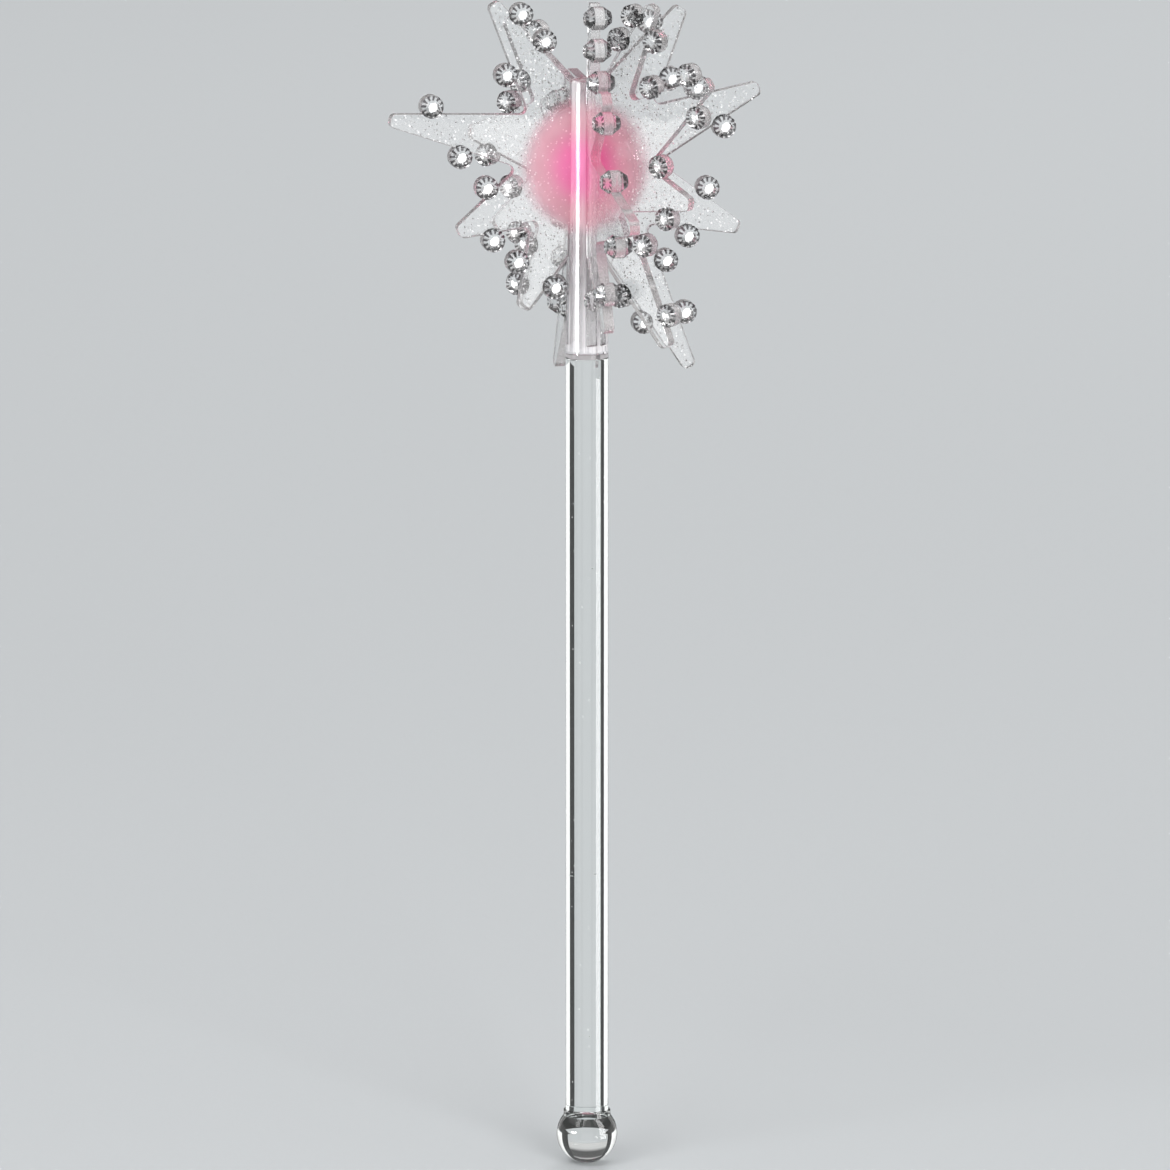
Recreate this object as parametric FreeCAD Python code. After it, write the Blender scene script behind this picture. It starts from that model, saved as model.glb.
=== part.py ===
import FreeCAD, Part
import math
import os

# A toy magic wand, 35 cm long: a clear rod with a clear ball at its foot, and on
# its head a tapered clear post that carries six clear starburst wings. Every
# point of a wing has small ears on its flanks, and each ear carries two faceted
# flat-back gems, back to back.
#
# Millimetres. +Z is up along the rod. The origin is on the rod's axis, in the
# middle of the stretch that a hand holds. -Y is the side that faces the viewer.

# Driving sizes of the rod and the ball
rod_diameter = 12.7
rod_length = 232.0
rod_bevel = 0.35
ball_diameter = 18.0
ball_rim_diameter = 13.9
ball_rim_height = 7.2
ball_seat_height = 3.0
ball_rim_bevel = 0.25
seat_clearance = 0.05
grip_height = 75.0

# Driving sizes of the post
post_height = 82.6
post_top_diameter = 10.8
post_bevel = 0.4
groove_floor_radius = 4.5
groove_clearance = 0.06
groove_end_height = 4.0

# Driving sizes of the wings
wing_thickness = 3.0
star_height = 57.0
star_reach = 60.0
wing_top_rise = 25.2
wing_bottom_drop = 26.5
leg_depth = 1.2
tip_width = 3.8
tip_corner_radius = 1.6
notch_radius = 1.8

# Driving sizes of the gems
gem_diameter = 7.0
gem_height = 2.4
gem_table_diameter = 3.6
gem_overhang = 2.2
gem_facets = 8
gem_turn = 11.0

# A film of clear cement lies between pieces that meet face to face. One overrun
# serves all cuts.
cement_film = 0.05
overrun = 1.0

# Each wing is described by angles in degrees, seen square to its face and
# measured from the level line through the middle of the star, and by reach
# shares of star_reach. The four points go from top to bottom, with the three
# notches between them. A gem place is the number of its point, its flank, and
# the share of the flank's length, from the root of the point to its tip.
WING_SHARES = {
    "wing_right": {
        "azimuth": 15,
        "point_shares": ((58, 0.90), (22, 0.94), (-24, 0.84), (-63, 1.15)),
        "notch_shares": ((40, 0.44), (1, 0.36), (-46, 0.42)),
        "gem_shares": (
            (0, "upper", 0.71), (0, "lower", 0.31), (1, "upper", 0.45),
            (1, "lower", 0.60), (2, "upper", 0.54), (2, "lower", 0.48),
            (3, "upper", 0.28), (3, "upper", 0.65), (3, "lower", 0.55),
        ),
    },
    "wing_left": {
        "azimuth": 195,
        "point_shares": ((60, 0.95), (15, 1.03), (-25, 0.72), (-65, 0.77)),
        "notch_shares": ((42, 0.40), (1, 0.35), (-45, 0.41)),
        "gem_shares": (
            (0, "upper", 0.76), (0, "upper", 0.43), (0, "lower", 0.39),
            (1, "upper", 0.71), (1, "lower", 0.43), (2, "upper", 0.43),
            (2, "lower", 0.55), (3, "upper", 0.45), (3, "lower", 0.50),
        ),
    },
    "wing_front_right": {
        "azimuth": -36,
        "point_shares": ((64, 0.92), (33, 0.88), (-12, 0.64), (-60, 0.98)),
        "notch_shares": ((53, 0.42), (5, 0.38), (-40, 0.32)),
        "gem_shares": (
            (0, "upper", 0.77), (0, "upper", 0.48), (0, "lower", 0.69),
            (1, "upper", 0.32), (1, "upper", 0.80), (1, "lower", 0.70),
            (2, "upper", 0.20), (2, "lower", 0.63), (3, "upper", 0.27),
            (3, "upper", 0.80), (3, "lower", 0.38),
        ),
    },
    "wing_back_left": {
        "azimuth": 144,
        "point_shares": ((55, 0.84), (8, 0.72), (-32, 0.66), (-63, 0.83)),
        "notch_shares": ((42, 0.43), (-11, 0.33), (-45, 0.41)),
        "gem_shares": (
            (0, "upper", 0.64), (0, "lower", 0.29), (1, "upper", 0.35),
            (1, "lower", 0.70), (2, "upper", 0.43), (2, "lower", 0.55),
            (3, "upper", 0.33), (3, "upper", 0.80), (3, "lower", 0.50),
        ),
    },
    "wing_front": {
        "azimuth": -76,
        "point_shares": ((80, 0.84), (44, 0.56), (-9, 0.97), (-60, 0.87)),
        "notch_shares": ((68, 0.45), (19, 0.16), (-52, 0.43)),
        "gem_shares": (
            (0, "lower", 0.84), (0, "lower", 0.45), (1, "upper", 0.50),
            (1, "lower", 0.78), (2, "upper", 0.47), (2, "lower", 0.51),
            (3, "upper", 0.62), (3, "lower", 0.50),
        ),
    },
    "wing_back": {
        "azimuth": 104,
        "point_shares": ((52, 0.52), (12, 0.85), (-24, 0.62), (-62, 1.24)),
        "notch_shares": ((34, 0.33), (-8, 0.30), (-46, 0.42)),
        "gem_shares": (
            (0, "lower", 0.55), (1, "upper", 0.50), (1, "lower", 0.55),
            (2, "upper", 0.50), (2, "lower", 0.55), (3, "upper", 0.30),
            (3, "upper", 0.62), (3, "lower", 0.45),
        ),
    },
}

# Heights and radii that follow from the sizes above
rod_radius = rod_diameter / 2
ball_radius = ball_diameter / 2
rim_radius = ball_rim_diameter / 2
socket_radius = rod_radius + seat_clearance
ball_middle = -grip_height
rod_foot = ball_middle + ball_seat_height + cement_film
rod_top = rod_foot + rod_length
post_foot = rod_top + cement_film
post_top = post_foot + post_height
post_top_radius = post_top_diameter / 2
star_middle = post_foot + star_height
groove_end = post_foot + groove_end_height
tongue_radius = groove_floor_radius + groove_clearance
leg_radius = tongue_radius + leg_depth
leg_foot = groove_end + cement_film
half_wing = wing_thickness / 2
gem_radius = gem_diameter / 2
gem_table_radius = gem_table_diameter / 2

UP = FreeCAD.Vector(0, 0, 1)
ALONG_Y = FreeCAD.Vector(0, 1, 0)
CENTRE = FreeCAD.Vector(0, 0, 0)


def at(x, y, z):
    return FreeCAD.Vector(x, y, z)


def save(shape, node):
    """Writes one node, after a check that it is whole."""
    for solid in shape.Solids:
        assert solid.isValid(), node
    shape.exportStep("parts/" + node + ".step")
    print(node, "solids", len(shape.Solids), "volume", round(shape.Volume, 1))


def make_rod():
    """The clear rod, with a small polished bevel at both sawn ends."""
    rod = Part.makeCylinder(rod_radius, rod_length, at(0, 0, rod_foot))
    rims = [e for e in rod.Edges if isinstance(e.Curve, Part.Circle)]
    return rod.makeChamfer(rod_bevel, rims)


def make_ball():
    """The foot ball, with a low rim round the socket that takes the rod."""
    meet = math.atan2(math.sqrt(ball_radius**2 - rim_radius**2), rim_radius)
    half_way = (meet - math.pi / 2) / 2
    low = (0, -ball_radius)
    side = (ball_radius * math.cos(half_way), ball_radius * math.sin(half_way))
    neck = (rim_radius, ball_radius * math.sin(meet))
    outline = [
        neck,
        (rim_radius, ball_rim_height - ball_rim_bevel),
        (rim_radius - ball_rim_bevel, ball_rim_height),
        (socket_radius, ball_rim_height),
        (socket_radius, ball_seat_height),
        (0, ball_seat_height),
        low,
    ]
    places = [at(x, 0, ball_middle + z) for x, z in outline]
    edges = [Part.makeLine(a, b) for a, b in zip(places, places[1:])]
    bowl = [at(x, 0, ball_middle + z) for x, z in (low, side, neck)]
    edges.append(Part.Arc(*bowl).toShape())
    return Part.Face(Part.Wire(edges)).revolve(CENTRE, UP, 360)


def groove(azimuth):
    """The space that one wing's tongue and leg slide down into."""
    half = half_wing + groove_clearance
    depth = rod_radius + overrun - groove_floor_radius
    height = post_top + overrun - groove_end
    corner = at(groove_floor_radius, -half, groove_end)
    slot = Part.makeBox(depth, 2 * half, height, corner)
    slot.rotate(CENTRE, UP, azimuth)
    return slot


def make_post():
    """The tapered post on the rod's top, with a groove for every wing."""
    post = Part.makeCone(rod_radius, post_top_radius, post_height, at(0, 0, post_foot))
    top = [e for e in post.Edges if min(v.Z for v in e.Vertexes) > post_top - post_bevel]
    post = post.makeChamfer(post_bevel, top)
    for wing in WING_SHARES.values():
        post = post.cut(groove(wing["azimuth"]))
    return post


def polar(angle, share):
    """A place on a wing, as its distance from the axis and its height."""
    reach = share * star_reach
    turn = math.radians(angle)
    return (reach * math.cos(turn), star_middle + reach * math.sin(turn))


def step(start, end, length):
    """The place that lies a length from start, on the way to end."""
    run = math.dist(start, end)
    return tuple(s + (e - s) * length / run for s, e in zip(start, end))


def blunt_tip(root_above, tip, root_below):
    """The two corners of a point's end, square to the point's own axis."""
    root = tuple((a + b) / 2 for a, b in zip(root_above, root_below))
    run = math.dist(root, tip)
    along = tuple((t - r) / run for t, r in zip(tip, root))
    across = (-along[1] * tip_width / 2, along[0] * tip_width / 2)
    upper = (tip[0] + across[0], tip[1] + across[1])
    lower = (tip[0] - across[0], tip[1] - across[1])
    return upper, lower


def wing_roots(wing):
    """Where the flanks start: the post's top, the notches, the post's side."""
    notches = [polar(*notch) for notch in wing["notch_shares"]]
    first = (post_top_radius, star_middle + wing_top_rise)
    last = (leg_radius, star_middle - wing_bottom_drop)
    return [first] + notches + [last]


def wing_tips(wing):
    """The end corners of every point, from top to bottom."""
    roots = wing_roots(wing)
    tips = [polar(*point) for point in wing["point_shares"]]
    return [blunt_tip(roots[i], tip, roots[i + 1]) for i, tip in enumerate(tips)]


def rounded_face(corners):
    """A flat face in the XZ plane. Each corner is a place and a radius."""
    edges = []
    joints = []
    count = len(corners)
    for i, (place, radius) in enumerate(corners):
        before = corners[i - 1][0]
        after = corners[(i + 1) % count][0]
        if not radius:
            joints.append((place, place))
            continue
        into = math.atan2(place[1] - before[1], place[0] - before[0])
        out = math.atan2(after[1] - place[1], after[0] - place[0])
        turn = abs(math.remainder(out - into, math.tau))
        setback = radius * math.tan(turn / 2)
        start = step(place, before, setback)
        end = step(place, after, setback)
        middle = tuple((s + e) / 2 for s, e in zip(start, end))
        crown = radius / math.cos(turn / 2) - radius
        top = step(place, middle, crown)
        arc = Part.Arc(at(start[0], 0, start[1]), at(top[0], 0, top[1]), at(end[0], 0, end[1]))
        joints.append((start, end))
        edges.append(arc.toShape())
    for i in range(count):
        start = joints[i][1]
        end = joints[(i + 1) % count][0]
        edges.append(Part.makeLine(at(start[0], 0, start[1]), at(end[0], 0, end[1])))
    return Part.Face(Part.Wire(Part.__sortEdges__(edges)))


def gem_places(wing):
    """The middle of every gem place, just outside the flank that bears it."""
    roots = wing_roots(wing)
    tips = wing_tips(wing)
    places = []
    for point, flank, share in wing["gem_shares"]:
        is_upper = flank == "upper"
        root = roots[point] if is_upper else roots[point + 1]
        tip = tips[point][0] if is_upper else tips[point][1]
        run = math.dist(root, tip)
        along = ((tip[0] - root[0]) / run, (tip[1] - root[1]) / run)
        side = 1 if is_upper else -1
        x = root[0] + along[0] * share * run - side * along[1] * gem_overhang
        z = root[1] + along[1] * share * run + side * along[0] * gem_overhang
        places.append((x, z))
    return places


def ring(radius, height, count):
    """Evenly spaced places round the gem's axis, which runs along +Y."""
    turns = [math.tau * i / count for i in range(count)]
    return [at(radius * math.cos(t), height, radius * math.sin(t)) for t in turns]


def flat(*places):
    """A flat face through the places, in order."""
    return Part.Face(Part.makePolygon(list(places) + [places[0]]))


def make_ear(i, x, z):
    """The ear that bears a gem on each face, sawn to the outline of their backs."""
    outline = flat(*ring(gem_radius, 0, 2 * gem_facets))
    outline.rotate(CENTRE, ALONG_Y, i * gem_turn)
    outline.translate(at(x, 0, z))
    return outline.extrude(at(0, wing_thickness, 0))


def make_wing(wing):
    """One starburst wing: sawn sheet with points, ears, a tongue and a leg."""
    roots = wing_roots(wing)
    tips = wing_tips(wing)
    corners = [((tongue_radius, roots[0][1]), 0), (roots[0], 0)]
    for i, (upper, lower) in enumerate(tips):
        corners.append((upper, tip_corner_radius))
        corners.append((lower, tip_corner_radius))
        is_last = i == len(tips) - 1
        corners.append((roots[i + 1], 0 if is_last else notch_radius))
    corners.append(((leg_radius, leg_foot), 0))
    corners.append(((tongue_radius, leg_foot), 0))
    sheet = rounded_face(corners).extrude(at(0, wing_thickness, 0))
    ears = [make_ear(i, x, z) for i, (x, z) in enumerate(gem_places(wing))]
    sheet = sheet.fuse(ears).removeSplitter()
    sheet.translate(at(0, -half_wing, 0))
    sheet.rotate(CENTRE, UP, wing["azimuth"])
    return sheet


def make_gem():
    """A faceted gem: a flat back, crown facets in two kinds, and a table."""
    steps = 2 * gem_facets
    back = ring(gem_radius, 0, steps)
    table = ring(gem_table_radius, gem_height, gem_facets)
    faces = [flat(*back), flat(*table)]
    for i in range(gem_facets):
        after = (i + 1) % gem_facets
        left = back[2 * i]
        middle = back[2 * i + 1]
        right = back[(2 * i + 2) % steps]
        faces.append(flat(table[i], table[after], middle))
        faces.append(flat(left, middle, table[i]))
        faces.append(flat(middle, right, table[after]))
    return Part.Solid(Part.Shell(faces))


def make_gems(wing, gem, is_far_face):
    """All the gems on one face of a wing, each turned a little further."""
    gems = []
    seat = half_wing + cement_film
    for i, (x, z) in enumerate(gem_places(wing)):
        one = gem.copy()
        one.rotate(CENTRE, ALONG_Y, i * gem_turn if is_far_face else -i * gem_turn)
        if not is_far_face:
            one.rotate(CENTRE, UP, 180)
        one.translate(at(x, seat if is_far_face else -seat, z))
        one.rotate(CENTRE, UP, wing["azimuth"])
        gems.append(one)
    return Part.makeCompound(gems)


os.makedirs("parts", exist_ok=True)
save(make_rod(), "rod")
save(make_ball(), "foot_ball")
save(make_post(), "head_post")
single_gem = make_gem()
for name, shares in WING_SHARES.items():
    save(make_wing(shares), name)
    save(make_gems(shares, single_gem, False), name.replace("wing", "gems") + "_near_face")
    save(make_gems(shares, single_gem, True), name.replace("wing", "gems") + "_far_face")
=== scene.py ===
import math

import bmesh
import bpy
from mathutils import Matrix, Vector


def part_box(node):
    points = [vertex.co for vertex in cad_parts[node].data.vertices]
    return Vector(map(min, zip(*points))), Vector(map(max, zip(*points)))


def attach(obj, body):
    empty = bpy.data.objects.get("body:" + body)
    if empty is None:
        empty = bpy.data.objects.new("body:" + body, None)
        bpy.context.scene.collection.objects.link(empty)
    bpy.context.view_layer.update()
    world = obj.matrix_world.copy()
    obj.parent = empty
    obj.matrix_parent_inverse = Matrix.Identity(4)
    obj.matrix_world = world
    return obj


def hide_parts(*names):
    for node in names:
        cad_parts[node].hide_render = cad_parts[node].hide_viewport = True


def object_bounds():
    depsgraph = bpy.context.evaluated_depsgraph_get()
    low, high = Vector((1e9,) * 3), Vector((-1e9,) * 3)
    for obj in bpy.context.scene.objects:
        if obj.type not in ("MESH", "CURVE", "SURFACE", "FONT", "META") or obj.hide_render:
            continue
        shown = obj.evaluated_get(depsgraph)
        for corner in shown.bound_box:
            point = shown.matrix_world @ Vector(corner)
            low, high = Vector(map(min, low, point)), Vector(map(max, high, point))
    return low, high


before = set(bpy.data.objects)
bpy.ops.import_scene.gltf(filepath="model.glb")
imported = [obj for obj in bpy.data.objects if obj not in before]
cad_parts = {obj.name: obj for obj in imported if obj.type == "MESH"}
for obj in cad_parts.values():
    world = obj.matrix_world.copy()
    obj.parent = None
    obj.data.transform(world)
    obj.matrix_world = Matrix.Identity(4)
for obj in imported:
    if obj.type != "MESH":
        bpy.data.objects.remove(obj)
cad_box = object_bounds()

# The rod: one length of half-inch clear rod, cast in acrylic and polished after
# sawing. Its foot is cemented into the ball, and the post is cemented on its top.

mm = 0.001

rod_low, rod_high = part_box("rod")
rod_radius = rod_high.x
rod_length = rod_high.z - rod_low.z
rod_polish = 0.35 * mm
rod_polish_steps = 4
round_sides = 128

# Faces that meet at less than this angle are smoothed into one another. This weight
# then lets the largest of them set the shading.
smooth_angle = math.radians(30)
large_face_weight = 100

# Corners whose heights differ by less than this are level.
level_slack = 0.001 * mm

# How much finer detail a pattern of noise carries on top of its own size.
little_detail = 1.0
some_detail = 2.0
more_detail = 3.0

# A Mix node takes its two colours at these sockets, and gives the blend at this one.
colour_from = 6
colour_to = 7
blended = 2

# Clear acrylic: its index, and the faint cool green of a thick piece.
acrylic_ior = 1.49
acrylic_hex = "FCFEFD"

# Cast rod isn't quite true: long shallow waves run along it.
wave_length = 4 * mm
wave_stretch = 0.1
wave_height = 0.006 * mm

# A little dust was caught in the casting. It is a tenth of a millimetre in truth,
# and is drawn coarser so that it shows.
dust_spacing = 2.4 * mm
dust_radius = 0.17 * mm
dust_share = 0.5
dust_hex = "FBFCFB"

# Handling leaves faint dull patches about a fingertip wide, on half of the surface.
handling_size = 9 * mm
handling_share = 0.5
handling_roughness = 0.03

# Where the rod's foot sits in the ball, cement fills the joint. Cement of the same
# index doesn't bend light, so its own index against the acrylic is 1.
cement_ior = 1.0
cement_hex = "FDFEFE"


def linear(code):
    """A colour written as an sRGB hex value, turned to linear light."""
    parts = [int(code[i:i + 2], 16) / 255 for i in (0, 2, 4)]
    light = [c / 12.92 if c <= 0.04045 else ((c + 0.055) / 1.055) ** 2.4 for c in parts]
    return (*light, 1.0)


def add(tree, kind, sockets, **settings):
    """Adds one node. Each socket takes a value or another node's output."""
    made = tree.nodes.new(kind)
    for name, value in settings.items():
        setattr(made, name, value)
    for name, value in sockets.items():
        if isinstance(value, bpy.types.NodeSocket):
            tree.links.new(value, made.inputs[name])
        else:
            made.inputs[name].default_value = value
    return made.outputs


def new_material(name):
    """An empty material, its tree, and the place on the piece that is shaded."""
    material = bpy.data.materials.new(name)
    material.use_nodes = True
    # The cards light nothing and the pink's painted glow is faint, so nothing that glows is
    # sampled as a lamp.
    material.cycles.emission_sampling = "NONE"
    tree = material.node_tree
    tree.nodes.clear()
    place = add(tree, "ShaderNodeTexCoord", {})["Object"]
    return material, tree, place


def specks(tree, place, spacing, radius, share):
    """Specks that a solid holds, one to a cell: their mask, and their chances."""
    cell = add(tree, "ShaderNodeTexVoronoi", {"Vector": place, "Scale": 1 / spacing})
    chances = add(tree, "ShaderNodeSeparateColor", {"Color": cell["Color"]})
    near = add(tree, "ShaderNodeMath", {
        0: cell["Distance"], 1: radius / spacing}, operation="LESS_THAN")
    kept = add(tree, "ShaderNodeMath", {0: chances["Red"], 1: share}, operation="LESS_THAN")
    mask = add(tree, "ShaderNodeMath", {0: near[0], 1: kept[0]}, operation="MULTIPLY")
    return mask[0], cell["Color"]


def cast_acrylic(name):
    """Cast clear acrylic, polished: glossy, and it bends what lies behind it."""
    material, tree, place = new_material(name)
    along = add(tree, "ShaderNodeMapping", {
        "Vector": place, "Scale": (1, 1, wave_stretch)})["Vector"]
    wave = add(tree, "ShaderNodeTexNoise", {
        "Vector": along, "Scale": 1 / wave_length, "Detail": little_detail})["Fac"]
    bump = add(tree, "ShaderNodeBump", {"Height": wave, "Distance": wave_height})[0]
    dust, _ = specks(tree, place, dust_spacing, dust_radius, dust_share)
    tint = add(tree, "ShaderNodeMix", {
        0: dust, colour_from: linear(acrylic_hex), colour_to: linear(dust_hex)},
        data_type="RGBA")[blended]
    clear = add(tree, "ShaderNodeMath", {0: 1.0, 1: dust}, operation="SUBTRACT")[0]
    dull = add(tree, "ShaderNodeTexNoise", {
        "Vector": place, "Scale": 1 / handling_size, "Detail": more_detail})["Fac"]
    rough = add(tree, "ShaderNodeMapRange", {
        "Value": dull, "From Min": 1 - handling_share, "To Max": handling_roughness})[0]
    skin = add(tree, "ShaderNodeBsdfPrincipled", {
        "Base Color": tint, "Roughness": rough, "IOR": acrylic_ior,
        "Transmission Weight": clear, "Normal": bump})[0]
    add(tree, "ShaderNodeOutputMaterial", {"Surface": skin})
    return material


def acrylic_cement():
    """Clear cement in a joint: it has the acrylic's own index, so the joint vanishes."""
    material, tree, place = new_material("clear_acrylic_cement")
    film = add(tree, "ShaderNodeTexNoise", {
        "Vector": place, "Scale": 1 / handling_size, "Detail": some_detail})["Fac"]
    tint = add(tree, "ShaderNodeMix", {
        0: film, colour_from: linear(acrylic_hex), colour_to: linear(cement_hex)},
        data_type="RGBA")[blended]
    skin = add(tree, "ShaderNodeBsdfPrincipled", {
        "Base Color": tint, "Roughness": 0.0, "IOR": cement_ior, "Transmission Weight": 1.0})[0]
    add(tree, "ShaderNodeOutputMaterial", {"Surface": skin})
    return material


def begin(make, name, **sizes):
    """Adds a primitive by its operator, with nothing else selected."""
    bpy.ops.object.select_all(action="DESELECT")
    make(**sizes)
    piece = bpy.context.active_object
    piece.name = name
    piece.data.name = name
    bpy.ops.object.transform_apply(location=True, rotation=True, scale=True)
    return piece


def pick(piece, kind, wanted):
    """Goes into edit mode with only the wanted vertices, edges or faces selected."""
    bpy.ops.object.select_all(action="DESELECT")
    piece.select_set(True)
    bpy.context.view_layer.objects.active = piece
    bpy.ops.object.mode_set(mode="EDIT")
    bpy.ops.mesh.select_mode(type=kind)
    bpy.ops.mesh.select_all(action="DESELECT")
    net = bmesh.from_edit_mesh(piece.data)
    parts = {"VERT": net.verts, "EDGE": net.edges, "FACE": net.faces}[kind]
    for part in parts:
        part.select_set(wanted(part))
    bmesh.update_edit_mesh(piece.data)


def at_height(*heights):
    """Tells the edges that lie level at one of the heights."""
    return lambda e: any(all(abs(v.co.z - h) < level_slack for v in e.verts) for h in heights)


def close():
    """Goes back to object mode and smooths the round stretches."""
    bpy.ops.object.mode_set(mode="OBJECT")
    bpy.ops.object.shade_smooth_by_angle(angle=smooth_angle)


def even_normals(piece):
    """Lets the large faces set the shading, so that softened edges don't bend them."""
    evened = piece.modifiers.new("even_normals", "WEIGHTED_NORMAL")
    evened.mode = "FACE_AREA"
    evened.weight = large_face_weight
    evened.keep_sharp = True
    bpy.ops.object.modifier_apply(modifier=evened.name)


def hand_over(piece, node, slot, *materials):
    """Gives a piece its finish, puts it on the root body, and hides the solid it stands for."""
    piece.data.materials.clear()
    for material in materials:
        piece.data.materials.append(material)
    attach(piece, "root")
    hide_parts(node)


def give_second_finish(piece, wanted):
    """Puts the piece's second material on the wanted faces."""
    pick(piece, "FACE", wanted)
    piece.active_material_index = 1
    bpy.ops.object.material_slot_assign()
    bpy.ops.object.mode_set(mode="OBJECT")


rod = begin(bpy.ops.mesh.primitive_cylinder_add, "polished_rod", vertices=round_sides,
            radius=rod_radius, depth=rod_length, location=(rod_low + rod_high) / 2)
pick(rod, "EDGE", at_height(rod_low.z, rod_high.z))
bpy.ops.mesh.bevel(offset=rod_polish, segments=rod_polish_steps)
bpy.ops.object.mode_set(mode="OBJECT")
# A ring of edges at the socket's mouth lets the cemented foot have a finish of its own.
socket_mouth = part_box("foot_ball")[1].z
pick(rod, "FACE", lambda f: True)
bpy.ops.mesh.bisect(plane_co=(0, 0, socket_mouth), plane_no=(0, 0, 1))
close()
even_normals(rod)
cement = acrylic_cement()
hand_over(rod, "rod", "clear_rod", cast_acrylic("cast_acrylic_rod"), cement)
give_second_finish(rod, lambda f: f.calc_center_median().z < socket_mouth)

# The foot ball: turned from clear acrylic and polished. A low rim stands round
# the blind socket in which the rod's foot is cemented.

ball_low, ball_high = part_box("foot_ball")
ball_radius = ball_high.x
ball_middle = ball_low.z + ball_radius
ball_rings = 64
rim_radius = 6.95 * mm
rim_edge = 0.25 * mm
rim_edge_steps = 3
round_slack = 0.05 * mm
socket_room = 0.05 * mm
cement_film = 0.05 * mm
socket_radius = rod_radius + socket_room
socket_floor = rod_low.z - cement_film
socket_reach = socket_radius + cement_film
rim_middle = (rim_radius + socket_radius) / 2
rim_foot = ball_middle + math.sqrt(ball_radius**2 - rim_radius**2)


def outer_rim(e):
    """Tells the edges round the outside of the rim's level top."""
    reaches = [v.co.xy.length for v in e.verts]
    level = at_height(ball_high.z)(e)
    return level and min(reaches) > rim_middle and max(reaches) - min(reaches) < round_slack


def in_socket(f):
    """Tells the faces of the socket, which the cement touches."""
    middle = f.calc_center_median()
    return middle.xy.length < socket_reach and middle.z > socket_floor - cement_film


ball = begin(bpy.ops.mesh.primitive_uv_sphere_add, "turned_ball", segments=round_sides,
             ring_count=ball_rings, radius=ball_radius, location=(0, 0, ball_middle))
pick(ball, "FACE", lambda f: True)
bpy.ops.mesh.bisect(plane_co=(0, 0, rim_foot), plane_no=(0, 0, 1), use_fill=True,
                    clear_outer=True)
rim_rise = ball_high.z - rim_foot
bpy.ops.mesh.extrude_region_move(TRANSFORM_OT_translate={"value": (0, 0, rim_rise)})
bpy.ops.mesh.inset(thickness=rim_radius - socket_radius)
socket_drop = socket_floor - ball_high.z
bpy.ops.mesh.extrude_region_move(TRANSFORM_OT_translate={"value": (0, 0, socket_drop)})
bpy.ops.object.mode_set(mode="OBJECT")
pick(ball, "EDGE", outer_rim)
bpy.ops.mesh.bevel(offset=rim_edge, segments=rim_edge_steps)
close()
hand_over(ball, "foot_ball", "clear_ball", cast_acrylic("cast_acrylic_ball"), cement)
give_second_finish(ball, in_socket)

# The post: moulded in clear plastic, a little milky, with six grooves down its
# sides. Its edges are softened by the mould, and its middle is airbrushed pink
# together with the wings.

post_low, post_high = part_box("head_post")
star_height = 57 * mm
star_middle = Vector((0, 0, post_low.z + star_height))
mould_edge = 0.12 * mm
edge_steps = 2
sharp_angle = math.radians(40)
merge_distance = 0.0005 * mm
flat_angle = math.radians(0.4)

# The pink fades out from the middle of the star: where it ends, where its pale part
# and its deep core are full, and how much of the plastic each of them covers.
pink_edge = 22 * mm
pink_full = 15 * mm
pink_core = 6.5 * mm
pink_thin = 0.6
pink_thick = 0.9
pink_outer_hex = "E7ADBC"
pink_core_hex = "E780B2"
pink_roughness = 0.2

# Painted glow: the ink gives off a little light of its own, though it is no lamp, so that
# it stays bright where a wing shades it.
pink_painted_glow = 0.24

# How much of the light shines through the pink: less through the thick post.
pink_through = 0.4
post_through = 0.1

# Light that shines through meets the pink twice, so each pass takes half of its hue.
half_hue_power = 0.5

# Moulding leaves milky streaks along the post, a millimetre or so wide. The collar
# at its foot, next to the rod, is clear.
collar_height = 1.7 * mm
collar_blend = 0.5 * mm
milk_hex = "FFFBFD"
milk_most = 0.85
milk_starts = 0.3
milk_full = 0.7
milk_width = 1.3 * mm
milk_stretch = 0.04
milk_roughness = 0.03


def copied(node, name, softening):
    """A copy of a solid's mesh, joined up, with softened edges."""
    piece = bpy.data.objects.new(name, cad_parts[node].data.copy())
    piece.data.name = name
    bpy.context.scene.collection.objects.link(piece)
    pick(piece, "FACE", lambda f: True)
    bpy.ops.mesh.customdata_custom_splitnormals_clear()
    bpy.ops.mesh.remove_doubles(threshold=merge_distance)
    bpy.ops.mesh.dissolve_limited(angle_limit=flat_angle)
    bpy.ops.object.mode_set(mode="OBJECT")
    soft = piece.modifiers.new("soft_edges", "BEVEL")
    soft.width = softening
    soft.segments = edge_steps
    soft.limit_method = "ANGLE"
    soft.angle_limit = sharp_angle
    soft.use_clamp_overlap = False
    bpy.ops.object.modifier_apply(modifier=soft.name)
    bpy.ops.object.shade_smooth_by_angle(angle=smooth_angle)
    return piece


def pink_mist(tree, place):
    """The airbrushed pink: how much covers the plastic, and its colour."""
    away = add(tree, "ShaderNodeVectorMath", {
        0: place, 1: star_middle}, operation="DISTANCE")["Value"]
    disc = add(tree, "ShaderNodeMapRange", {
        "Value": away, "From Min": pink_edge, "From Max": pink_full},
        interpolation_type="SMOOTHSTEP")[0]
    core = add(tree, "ShaderNodeMapRange", {
        "Value": away, "From Min": pink_full, "From Max": pink_core},
        interpolation_type="SMOOTHSTEP")[0]
    cover = add(tree, "ShaderNodeMapRange", {
        "Value": core, "To Min": pink_thin, "To Max": pink_thick})[0]
    mist = add(tree, "ShaderNodeMath", {0: disc, 1: cover}, operation="MULTIPLY")[0]
    hue = add(tree, "ShaderNodeMix", {
        0: core, colour_from: linear(pink_outer_hex), colour_to: linear(pink_core_hex)},
        data_type="RGBA")[blended]
    return mist, hue


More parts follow.
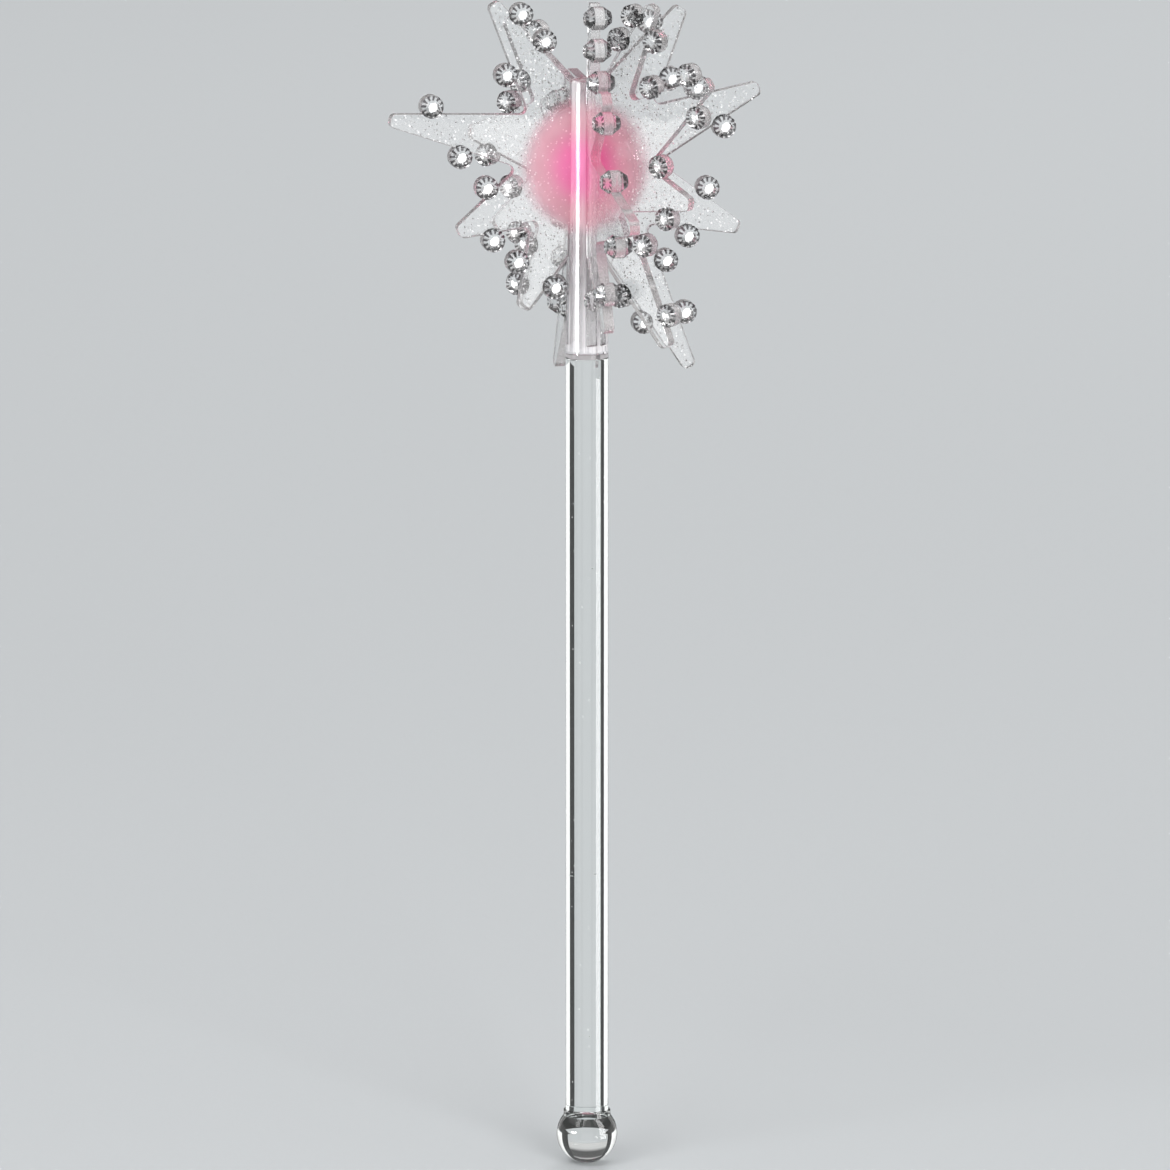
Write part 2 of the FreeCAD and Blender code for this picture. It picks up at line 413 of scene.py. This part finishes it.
def airbrushed(tree, place, skin, through):
    """Lays the pink over a skin, and lets a share of the light shine through it."""
    mist, hue = pink_mist(tree, place)
    # The ink's emission is a painted glow, so that it stays bright in a wing's shade.
    front = add(tree, "ShaderNodeBsdfPrincipled", {
        "Base Color": hue, "Roughness": pink_roughness,
        "Emission Color": hue, "Emission Strength": pink_painted_glow})[0]
    half_hue = add(tree, "ShaderNodeGamma", {"Color": hue, "Gamma": half_hue_power})[0]
    behind = add(tree, "ShaderNodeBsdfTranslucent", {"Color": half_hue})[0]
    ink = add(tree, "ShaderNodeMixShader", {0: through, 1: front, 2: behind})[0]
    return add(tree, "ShaderNodeMixShader", {0: mist, 1: skin, 2: ink})[0]


def moulded_post():
    """Clear moulded plastic: it lets light through, but its mass is a little milky."""
    material, tree, place = new_material("moulded_milky_plastic")
    along = add(tree, "ShaderNodeMapping", {
        "Vector": place, "Scale": (1, 1, milk_stretch)})["Vector"]
    streak = add(tree, "ShaderNodeTexNoise", {
        "Vector": along, "Scale": 1 / milk_width, "Detail": some_detail})["Fac"]
    streaked = add(tree, "ShaderNodeMapRange", {
        "Value": streak, "From Min": milk_starts, "From Max": milk_full,
        "To Max": milk_most})[0]
    level = add(tree, "ShaderNodeSeparateXYZ", {0: place})["Z"]
    body = add(tree, "ShaderNodeMapRange", {
        "Value": level, "From Min": post_low.z + collar_height,
        "From Max": post_low.z + collar_height + collar_blend})[0]
    milk = add(tree, "ShaderNodeMath", {0: streaked, 1: body}, operation="MULTIPLY")[0]
    clear = add(tree, "ShaderNodeMath", {0: 1.0, 1: milk}, operation="SUBTRACT")[0]
    rough = add(tree, "ShaderNodeMapRange", {"Value": streak, "To Max": milk_roughness})[0]
    skin = add(tree, "ShaderNodeBsdfPrincipled", {
        "Base Color": linear(milk_hex), "Roughness": rough, "IOR": acrylic_ior,
        "Transmission Weight": clear})[0]
    add(tree, "ShaderNodeOutputMaterial", {
        "Surface": airbrushed(tree, place, skin, post_through)})
    return material


post = copied("head_post", "moulded_post", mould_edge)
even_normals(post)
hand_over(post, "head_post", "clear_post", moulded_post())

# The wings: six half stars sawn from 3 mm clear sheet that has fine silver
# glitter cast in. The saw leaves their edges satin, and each one's tongue and leg
# are cemented in a groove of the post.

# Which way each wing points, in degrees from the right towards the back.
wing_azimuths = {"right": 15, "left": 195, "front_right": -36, "back_left": 144,
                 "front": -76, "back": 104}
sheet_edge = 0.14 * mm

# The glitter is cut film. It is drawn 0.4 and 0.6 mm across, a little coarser than it
# is, so that it shows. Each size has the spacing of its cells, the radius of a flake and
# the share of cells that hold one. Each flake lies at its own tilt.
flake_sizes = ((1.3 * mm, 0.29 * mm, 0.45), (0.9 * mm, 0.19 * mm, 0.32))
flake_roughness = 0.22
flake_metal = 0.15
sheet_hex = "FFFFFF"
sheet_haze = 0.02

# A flake's lean comes from its cell's chances, which run from 0 to 1. Their middle is
# no lean.
no_lean = (0.5, 0.5, 0.5)

# Painted light: the sawn edges are tinted with the pink light that the sheet carries from the
# middle, less further out.
edge_near = 8 * mm
edge_far = 38 * mm
edge_painted_pink_hex = "F4B4CC"
edge_far_hex = "ECE9E9"
edge_cover = 0.27
saw_spacing = 0.35 * mm
saw_depth = 0.02 * mm
saw_roughness = 0.22

# Noise averages a half, so a pattern of noise that goes up to twice a value has that
# value on average.
noise_mean = 0.5

# A face squarer to a direction than this looks that way.
face_share = 0.98


def glitter_sheet():
    """Clear sheet with glitter cast in: each flake glints when its tilt is right."""
    material, tree, place = new_material("glitter_cast_sheet")
    large, small = [specks(tree, place, *sizes) for sizes in flake_sizes]
    flake = add(tree, "ShaderNodeMath", {0: large[0], 1: small[0]}, operation="MAXIMUM")[0]
    lean = add(tree, "ShaderNodeVectorMath", {
        0: large[1], 1: no_lean}, operation="SUBTRACT")[0]
    tilt = add(tree, "ShaderNodeVectorMath", {0: lean, "Scale": flake}, operation="SCALE")[0]
    plain = add(tree, "ShaderNodeNewGeometry", {})["Normal"]
    leaned = add(tree, "ShaderNodeVectorMath", {0: plain, 1: tilt}, operation="ADD")[0]
    normal = add(tree, "ShaderNodeVectorMath", {0: leaned}, operation="NORMALIZE")[0]
    cover = add(tree, "ShaderNodeMath", {0: flake, 1: sheet_haze}, operation="MAXIMUM")[0]
    clear = add(tree, "ShaderNodeMath", {0: 1.0, 1: cover}, operation="SUBTRACT")[0]
    rough = add(tree, "ShaderNodeMath", {
        0: flake, 1: flake_roughness}, operation="MULTIPLY")[0]
    metal = add(tree, "ShaderNodeMath", {0: flake, 1: flake_metal}, operation="MULTIPLY")[0]
    skin = add(tree, "ShaderNodeBsdfPrincipled", {
        "Base Color": linear(sheet_hex), "Metallic": metal, "Roughness": rough,
        "IOR": acrylic_ior, "Transmission Weight": clear, "Normal": normal})[0]
    add(tree, "ShaderNodeOutputMaterial", {
        "Surface": airbrushed(tree, place, skin, pink_through)})
    return material


def sawn_edge():
    """The sawn edge of the sheet: satin and pale, with painted pink light from the middle."""
    material, tree, place = new_material("sawn_sheet_edge")
    away = add(tree, "ShaderNodeVectorMath", {
        0: place, 1: star_middle}, operation="DISTANCE")["Value"]
    far = add(tree, "ShaderNodeMapRange", {
        "Value": away, "From Min": edge_near, "From Max": edge_far})[0]
    # Painted light: the pink near the middle stands for light the sheet carries to its edges.
    tint = add(tree, "ShaderNodeMix", {
        0: far, colour_from: linear(edge_painted_pink_hex), colour_to: linear(edge_far_hex)},
        data_type="RGBA")[blended]
    cut = add(tree, "ShaderNodeTexNoise", {
        "Vector": place, "Scale": 1 / saw_spacing, "Detail": some_detail})["Fac"]
    bump = add(tree, "ShaderNodeBump", {"Height": cut, "Distance": saw_depth})[0]
    cover = add(tree, "ShaderNodeMapRange", {
        "Value": cut, "To Max": edge_cover / noise_mean})[0]
    clear = add(tree, "ShaderNodeMath", {0: 1.0, 1: cover}, operation="SUBTRACT")[0]
    skin = add(tree, "ShaderNodeBsdfPrincipled", {
        "Base Color": tint, "Roughness": saw_roughness, "IOR": acrylic_ior,
        "Transmission Weight": clear, "Normal": bump})[0]
    add(tree, "ShaderNodeOutputMaterial", {"Surface": skin})
    return material


def across(azimuth):
    """The direction square to a wing's face."""
    turn = math.radians(azimuth)
    return Vector((-math.sin(turn), math.cos(turn), 0))


def sawn(square):
    """Tells a wing's sawn faces outside the post: those not square to the sheet."""
    return lambda f: (abs(f.normal.dot(square)) < face_share
                      and f.calc_center_median().xy.length > post_high.x)


sheet_finish = glitter_sheet()
edge_finish = sawn_edge()
for side, azimuth in wing_azimuths.items():
    wing = copied("wing_" + side, "sheet_wing_" + side, sheet_edge)
    even_normals(wing)
    hand_over(wing, "wing_" + side, "glitter_sheet", sheet_finish, edge_finish)
    give_second_finish(wing, sawn(across(azimuth)))

# The gems: flat-back rhinestones, moulded in clear acrylic with a silver foil on
# the back, and cemented to the ears of the wings, one on each face.

gem_edge = 0.05 * mm
gem_ior = 1.52
gem_hex = "FFFFFF"
foil_hex = "FAFAFA"
foil_grain = 0.5 * mm
foil_depth = 0.004 * mm
foil_roughness = 0.06

# The mould presses a ring of flutes into the back. The foil stays flat: one side of each
# flute is painted dark on it, as painted shade for the side that turns from the light.
flute_count = 12
flute_start = 1.35 * mm
flute_full = 1.6 * mm
flute_blend = 0.1
painted_flute_shade_hex = "7C797B"

# Wear leaves slight scuffs on half of a gem's face.
scuff_size = 1.2 * mm
scuff_share = 0.5
scuff_roughness = 0.04


def gem_acrylic():
    """The gem's moulded crown: clear, bright and sharp, with slight scuffs."""
    material, tree, place = new_material("moulded_gem_acrylic")
    scuff = add(tree, "ShaderNodeTexNoise", {
        "Vector": place, "Scale": 1 / scuff_size, "Detail": some_detail})["Fac"]
    rough = add(tree, "ShaderNodeMapRange", {
        "Value": scuff, "From Min": 1 - scuff_share, "To Max": scuff_roughness})[0]
    skin = add(tree, "ShaderNodeBsdfPrincipled", {
        "Base Color": linear(gem_hex), "Roughness": rough, "IOR": gem_ior,
        "Transmission Weight": 1.0})[0]
    add(tree, "ShaderNodeOutputMaterial", {"Surface": skin})
    return material


def silver_foil():
    """Silver foil behind the gem: a mirror that throws the light back out, with painted shade
    on one side of each flute.
    """
    material, tree, place = new_material("vacuum_silver_foil")
    grain = add(tree, "ShaderNodeTexNoise", {
        "Vector": place, "Scale": 1 / foil_grain, "Detail": some_detail})["Fac"]
    bump = add(tree, "ShaderNodeBump", {"Height": grain, "Distance": foil_depth})[0]
    rough = add(tree, "ShaderNodeMapRange", {
        "Value": grain, "To Max": foil_roughness / noise_mean})[0]
    # Painted shade: one side of each flute is darkened in the foil's colour, as if turned from
    # the light.
    spot = add(tree, "ShaderNodeAttribute", {}, attribute_name="from_gem_middle")["Vector"]
    part = add(tree, "ShaderNodeSeparateXYZ", {0: spot})
    turn = add(tree, "ShaderNodeMath", {0: part["Y"], 1: part["X"]}, operation="ARCTAN2")[0]
    sweep = add(tree, "ShaderNodeMath", {0: turn, 1: flute_count}, operation="MULTIPLY")[0]
    slope = add(tree, "ShaderNodeMath", {0: sweep}, operation="SINE")[0]
    away = add(tree, "ShaderNodeVectorMath", {0: spot}, operation="LENGTH")["Value"]
    ring = add(tree, "ShaderNodeMapRange", {
        "Value": away, "From Min": flute_start, "From Max": flute_full})[0]
    painted_flute_shade = add(tree, "ShaderNodeMapRange", {
        "Value": slope, "From Min": -flute_blend, "From Max": flute_blend, "To Max": ring})[0]
    tint = add(tree, "ShaderNodeMix", {
        0: painted_flute_shade, colour_from: linear(foil_hex), colour_to: linear(painted_flute_shade_hex)},
        data_type="RGBA")[blended]
    skin = add(tree, "ShaderNodeBsdfPrincipled", {
        "Base Color": tint, "Metallic": 1.0, "Roughness": rough, "Normal": bump})[0]
    add(tree, "ShaderNodeOutputMaterial", {"Surface": skin})
    return material


def gem_backs(direction):
    """Tells the flat backs of the gems on one face of a wing."""
    return lambda f: f.normal.dot(direction) > face_share


def note_middles(gems, azimuth, wanted):
    """Notes on each gem's back how far every corner is from the gem's middle."""
    turn = math.radians(azimuth)
    outward = Vector((math.cos(turn), math.sin(turn), 0))
    pick(gems, "FACE", wanted)
    net = bmesh.from_edit_mesh(gems.data)
    note = net.verts.layers.float_vector.new("from_gem_middle")
    for face in net.faces:
        if face.select:
            middle = face.calc_center_bounds()
            for vertex in face.verts:
                arm = vertex.co - middle
                vertex[note] = (arm.dot(outward), arm.z, 0)
    bmesh.update_edit_mesh(gems.data)
    bpy.ops.object.mode_set(mode="OBJECT")


crown_finish = gem_acrylic()
foil_finish = silver_foil()
for side, azimuth in wing_azimuths.items():
    for face, sign in (("near", 1), ("far", -1)):
        node = "gems_" + side + "_" + face + "_face"
        gems = copied(node, "foil_" + node, gem_edge)
        bpy.ops.object.shade_flat()
        hand_over(gems, node, "silver_gem", crown_finish, foil_finish)
        backs = gem_backs(across(azimuth) * sign)
        give_second_finish(gems, backs)
        note_middles(gems, azimuth, backs)

# The stage: a wide board under the ball, painted a pale matt grey. It isn't part of
# the wand.

floor_level = cad_box[0].z
floor_reach = 14.0
floor_hex = "BABDBF"
floor_grain = 2 * mm
floor_nap = 0.02 * mm
floor_roughness = 0.9
floor_gloss = 0.1


def painted_board():
    """Matt paint on board: pale and even, with a faint nap."""
    material, tree, place = new_material("pale_matt_board")
    grain = add(tree, "ShaderNodeTexNoise", {
        "Vector": place, "Scale": 1 / floor_grain, "Detail": some_detail})["Fac"]
    bump = add(tree, "ShaderNodeBump", {"Height": grain, "Distance": floor_nap})[0]
    skin = add(tree, "ShaderNodeBsdfPrincipled", {
        "Base Color": linear(floor_hex), "Roughness": floor_roughness,
        "Specular IOR Level": floor_gloss, "Normal": bump})[0]
    add(tree, "ShaderNodeOutputMaterial", {"Surface": skin})
    return material


bpy.ops.object.select_all(action="DESELECT")
bpy.ops.mesh.primitive_plane_add(size=floor_reach, location=(0, 0, floor_level))
floor = bpy.context.active_object
floor.name = "floor"
floor.data.materials.append(painted_board())

# The cards: glass shows only what stands round it. So white and black cards, paper and
# boards that the camera can't see stand round the wand, as a photographer puts them.
# They light nothing.

white = (1, 1, 1, 1)
white_light = 1.2
streak_light = 8.0
black_light = 0.05

# The cards end where the rod does, as the camera sees them. The right ones are lower,
# so that no wing shows them, and the streak starts a little further down.
card_top = rod_high.z - 7.5 * mm
right_card_top = rod_high.z - 10.5 * mm
streak_top = rod_high.z - 12.5 * mm

# The paper lies just above the floor.
paper_level = floor_level + 0.3 * mm

# The flag hangs half a metre behind, and is a metre wide.
flag_away = 0.5
flag_reach = 0.5
flag_foot = 0.29
flag_top = 1.1

# The boards stand a metre off.
board_reach = 1.0


def card(name, corners, light, in_glass=True):
    """A card between four corners, seen in mirrors, and through glass where asked."""
    board = begin(bpy.ops.mesh.primitive_plane_add, name, size=1)
    for vertex, corner in zip(board.data.vertices, corners):
        vertex.co = corner
    material, tree, _ = new_material(name)
    glow = add(tree, "ShaderNodeEmission", {"Color": white, "Strength": light})[0]
    add(tree, "ShaderNodeOutputMaterial", {"Surface": glow})
    board.data.materials.append(material)
    board.visible_camera = False
    board.visible_diffuse = False
    board.visible_shadow = False
    board.visible_transmission = in_glass


def standing(start, end, foot, top):
    """The corners of an upright card on a line of the plan."""
    return [(*start, foot), (*end, foot), (*start, top), (*end, top)]


def lying(left, right, front, back, height):
    """The corners of a card that lies level."""
    return [(left, front, height), (right, front, height),
            (left, back, height), (right, back, height)]


def round_about(angle):
    """The spot of the plan at the boards' reach, at an angle from the front to the right."""
    turn = math.radians(angle)
    return board_reach * math.sin(turn), -board_reach * math.cos(turn)


# Two white cards behind the rod light its edges, and the black ones draw a line inside
# them. Each runs between two spots of the plan, in mm.
for name, start, end, top, light in (
        ("white_card_left", (-28.5, 40), (-34, 17), card_top, white_light),
        ("white_card_right", (29.5, 40), (35, 17), right_card_top, white_light),
        ("black_card_left", (-18, 40), (-28.5, 40), card_top, black_light),
        ("black_card_right", (15.5, 40), (29.5, 40), right_card_top, black_light),
        ("black_card_front_left", (-14, -40), (-25.5, -40), card_top, black_light),
        ("black_card_front_right", (14, -40), (25.5, -40), card_top, black_light)):
    start, end = [(x * mm, y * mm) for x, y in (start, end)]
    card(name, standing(start, end, floor_level, top), light)

# A bright card at the front right draws the streak down the rod, as its mirror image.
streak_line = ((31 * mm, -30 * mm), (40 * mm, -14.5 * mm))
card("streak_card", standing(*streak_line, floor_level, streak_top), streak_light,
     in_glass=False)

# Black paper lies on the floor behind the ball, cut out in the middle, and a black
# flag hangs high behind it. With the black cards they draw the dark ring in the ball.
# Each paper has its left, right, front and back in mm.
for name, *sides in (
        ("black_paper", -25.5, 25.5, 7, 28),
        ("black_paper_left", -25.5, -12, 28, 40),
        ("black_paper_right", 12, 25.5, 28, 40)):
    card(name, lying(*[s * mm for s in sides], paper_level), black_light)
flag_line = ((-flag_reach, flag_away), (flag_reach, flag_away))
card("black_flag", standing(*flag_line, flag_foot, flag_top), black_light)

# Three low boards in front: two for the gems' tables to mirror, and a bright strip that
# draws a line down the post, as its mirror image. Each has the angles of its two ends,
# its foot and top in metres, its brightness, and whether glass shows it.
for name, near, far, foot, top, light, in_glass in (
        ("table_board_right", 20, 40, -0.045, 0.065, 2.0, True),
        ("strip_board_left", -44, -67, 0.0, 0.13, 34.0, False),
        ("table_board_left", -66, -80, -0.045, 0.065, 1.8, True)):
    card(name, standing(round_about(near), round_about(far), foot, top), light, in_glass)

# The lights: a large soft key high at the left, a fill at the right, a weak box
# behind, and an even dome. Of the boxes, glass shows only the key.

light_aim = Vector((0, 0, 0.12))

# The dome has a dim belt low down, from which the gems' facets take their darks. Its
# heights are those of the direction, from 0 at the level to 1 straight up.
dome_dim_share = 0.11
dome_foot_share = 0.64
dome_foot = 0.15
dome_dim_from = 0.25
dome_dim_to = 0.48
dome_shoulder = 0.66


def soft_box(name, place, size, power, in_glass):
    """A square soft box that the camera doesn't see. Glass may show it or not."""
    data = bpy.data.lights.new(name, "AREA")
    data.shape = "SQUARE"
    data.size = size
    data.energy = power
    box = bpy.data.objects.new(name, data)
    bpy.context.scene.collection.objects.link(box)
    box.location = place
    box.rotation_euler = (Vector(place) - light_aim).to_track_quat("Z", "Y").to_euler()
    box.visible_camera = False
    box.visible_glossy = in_glass
    box.visible_transmission = in_glass


# Each box has its place and its width in metres, and its power in watts.
soft_box("key_box", place=(-1.25, -1.75, 2.3), size=1.8, power=34, in_glass=True)
soft_box("fill_box", place=(0.85, -2.1, 0.8), size=1.0, power=33, in_glass=False)
soft_box("back_box", place=(0.5, 2.4, 1.9), size=1.6, power=22, in_glass=False)

world = bpy.data.worlds.new("studio_dome")
world.use_nodes = True
tree = world.node_tree
tree.nodes.clear()
direction = add(tree, "ShaderNodeTexCoord", {})["Generated"]
height = add(tree, "ShaderNodeSeparateXYZ", {0: direction})["Z"]
below = add(tree, "ShaderNodeMapRange", {
    "Value": height, "From Min": dome_dim_from, "From Max": dome_foot,
    "To Min": dome_dim_share, "To Max": dome_foot_share})[0]
above = add(tree, "ShaderNodeMapRange", {
    "Value": height, "From Min": dome_dim_to, "From Max": dome_shoulder,
    "To Min": dome_dim_share})[0]
share = add(tree, "ShaderNodeMath", {0: below, 1: above}, operation="MAXIMUM")[0]
sky = add(tree, "ShaderNodeBackground", {"Color": white, "Strength": share})[0]
add(tree, "ShaderNodeOutputWorld", {"Surface": sky})
bpy.context.scene.world = world

# Light has to pass many faces of the wings and the post before it leaves them.
through_bounces = 40
mirror_bounces = 16
bpy.context.scene.cycles.max_bounces = through_bounces
bpy.context.scene.cycles.transmission_bounces = through_bounces
bpy.context.scene.cycles.glossy_bounces = mirror_bounces
bpy.context.scene.view_settings.view_transform = "Standard"

# The camera: far off with a long lens, and a little above the wand, as the photograph
# was taken.

camera_distance = 4.0
camera_height = math.radians(11.5)
frame_width = 345.5 * mm
sensor = 36.0
aim = Vector((-0.59 * mm, 0, 91.4 * mm))
lens_data = bpy.data.cameras.new("camera")
lens_data.sensor_width = sensor
lens_data.lens = sensor * camera_distance / frame_width
camera = bpy.data.objects.new("camera", lens_data)
bpy.context.scene.collection.objects.link(camera)
back = Vector((0, -math.cos(camera_height), math.sin(camera_height)))
camera.location = aim + back * camera_distance
camera.rotation_euler = back.to_track_quat("Z", "Y").to_euler()
bpy.context.scene.camera = camera
